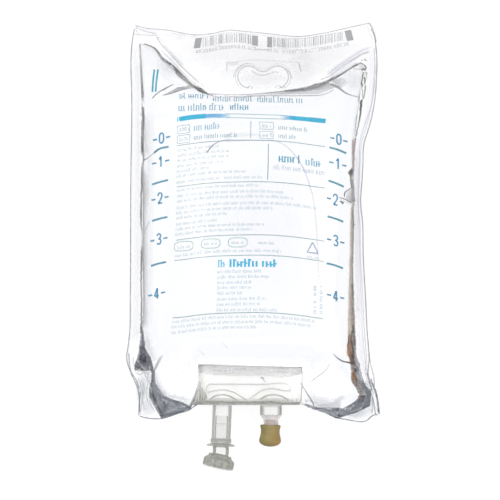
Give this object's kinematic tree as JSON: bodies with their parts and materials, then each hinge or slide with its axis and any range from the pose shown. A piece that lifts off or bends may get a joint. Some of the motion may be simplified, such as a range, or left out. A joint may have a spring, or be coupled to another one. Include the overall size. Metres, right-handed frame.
{
  "type": "iv fluid bag",
  "caption": "Clear filled infusion bag lying flat, with a welded header and hanging slot, a port block, a capped set port and a rubber-stoppered injection port.",
  "frame": {"origin": "on the table under the middle of the chamber's flat back", "axes": "+X to the right of the print, +Y towards the header, +Z out of the printed front"},
  "size_m": [0.1313, 0.2333, 0.041],
  "materials": {
    "clear_film": "clear glossy flexible film",
    "liquid": "clear colourless liquid",
    "moulded_plastic": "frosted translucent moulding",
    "tube_plastic": "translucent satin tube",
    "tan_rubber": "matt tan rubber"
  },
  "bodies": {
    "bag": {"front_film": "clear_film", "back_film": "clear_film", "solution": "liquid", "port_block": "moulded_plastic", "set_port_tube": "tube_plastic", "set_port_membrane": "tube_plastic", "injection_port_tube": "tube_plastic", "injection_stopper": "tan_rubber"},
    "protector": {"set_port_protector": "tube_plastic"}
  },
  "joints": [
    {"name": "protector_pull", "type": "slide", "parent": "bag", "child": "protector", "axis": [-0.0401, -0.9992, 0], "range_m": [0, 0.03]}
  ]
}
